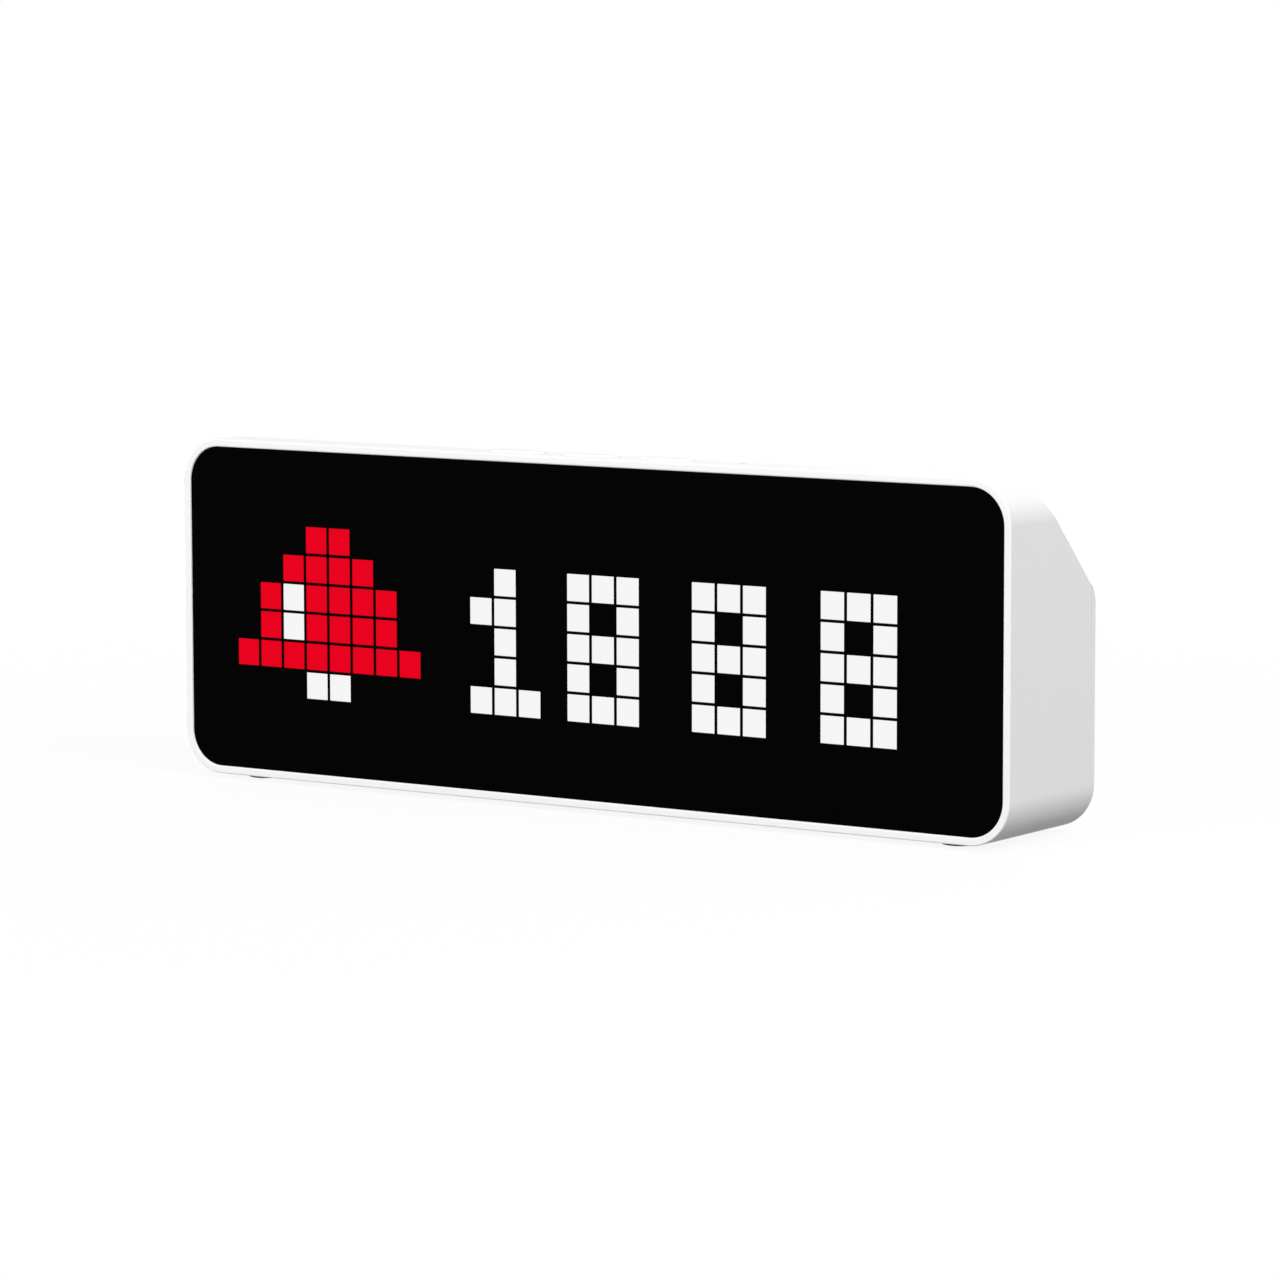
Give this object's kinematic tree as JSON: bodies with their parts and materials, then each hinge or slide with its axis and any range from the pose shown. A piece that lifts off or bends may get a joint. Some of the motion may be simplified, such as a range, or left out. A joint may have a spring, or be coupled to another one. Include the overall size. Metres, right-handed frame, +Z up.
{
  "type": "pixel clock",
  "caption": "Desk clock with a black pixel display in a white case with a sloped rear shoulder, top push buttons, a rear power button and a charging socket.",
  "frame": {"origin": "on the table under the middle of the case's width and depth", "axes": "+X to the viewer's right along the front, +Y from front to back, +Z up"},
  "size_m": [0.2006, 0.0324, 0.0717],
  "materials": {
    "white_case": "fine satin moulded plastic",
    "white_button": "satin moulded plastic",
    "black_panel": "smooth smoked acrylic",
    "unlit_pixel": "smooth smoked acrylic",
    "white_pixel": "lit diffuser",
    "red_pixel": "lit diffuser",
    "dark_rubber": "matt moulded rubber",
    "black_moulding": "matt moulded plastic",
    "green_board": "solder mask",
    "blue_board": "solder mask",
    "light_package": "moulded package",
    "bright_steel": "plated",
    "tin_can": "stamped sheet",
    "gold_pin": "plated",
    "clear_guide": "polished clear plastic",
    "cell_wrap": "shrink-wrapped metal can",
    "wire_sleeve": "soft insulation",
    "ivory_connector": "moulded nylon"
  },
  "bodies": {
    "clock_case": {"main_shell": "white_case", "rear_cover": "white_case", "cover_screws": "bright_steel", "rubber_feet": "dark_rubber", "front_panel": "black_panel", "unlit_pixels": "unlit_pixel", "white_pixels": "white_pixel", "red_pixels": "red_pixel", "light_grid": "black_moulding", "led_board": "green_board", "leds": "light_package", "display_screws": "bright_steel", "push_switches": "black_moulding", "button_board": "green_board", "button_screws": "bright_steel", "button_wires": "wire_sleeve", "light_guide": "clear_guide", "light_sensor": "light_package", "power_switch": "black_moulding", "main_board": "green_board", "board_screws": "bright_steel", "radio_module": "blue_board", "radio_can": "tin_can", "board_chips": "black_moulding", "sounder": "black_moulding", "temperature_sensor": "light_package", "usb_shell": "tin_can", "usb_tongue": "black_moulding", "link_header": "black_moulding", "link_pins_row": "gold_pin", "link_socket": "black_moulding", "battery_cells": "cell_wrap", "cell_contacts": "bright_steel", "battery_cradle": "white_case", "battery_socket": "ivory_connector", "battery_plug": "ivory_connector", "battery_wires": "wire_sleeve"},
    "left_push": {"left_button": "white_button", "left_plunger": "black_moulding"},
    "middle_push": {"middle_button": "white_button", "middle_plunger": "black_moulding"},
    "right_push": {"right_button": "white_button", "right_plunger": "black_moulding"},
    "power_push": {"power_button": "white_button", "power_plunger": "black_moulding"}
  },
  "joints": [
    {"name": "left_press", "type": "slide", "parent": "clock_case", "child": "left_push", "axis": [0, 0, -1], "range_m": [0, 0.0006], "stiffness_N_per_m": 1500, "springref_m": -0.0002},
    {"name": "middle_press", "type": "slide", "parent": "clock_case", "child": "middle_push", "axis": [0, 0, -1], "range_m": [0, 0.0006], "stiffness_N_per_m": 1500, "springref_m": -0.0002},
    {"name": "right_press", "type": "slide", "parent": "clock_case", "child": "right_push", "axis": [0, 0, -1], "range_m": [0, 0.0006], "stiffness_N_per_m": 1500, "springref_m": -0.0002},
    {"name": "power_press", "type": "slide", "parent": "clock_case", "child": "power_push", "axis": [0, -1, 0], "range_m": [0, 0.0006], "stiffness_N_per_m": 1500, "springref_m": -0.0002}
  ]
}
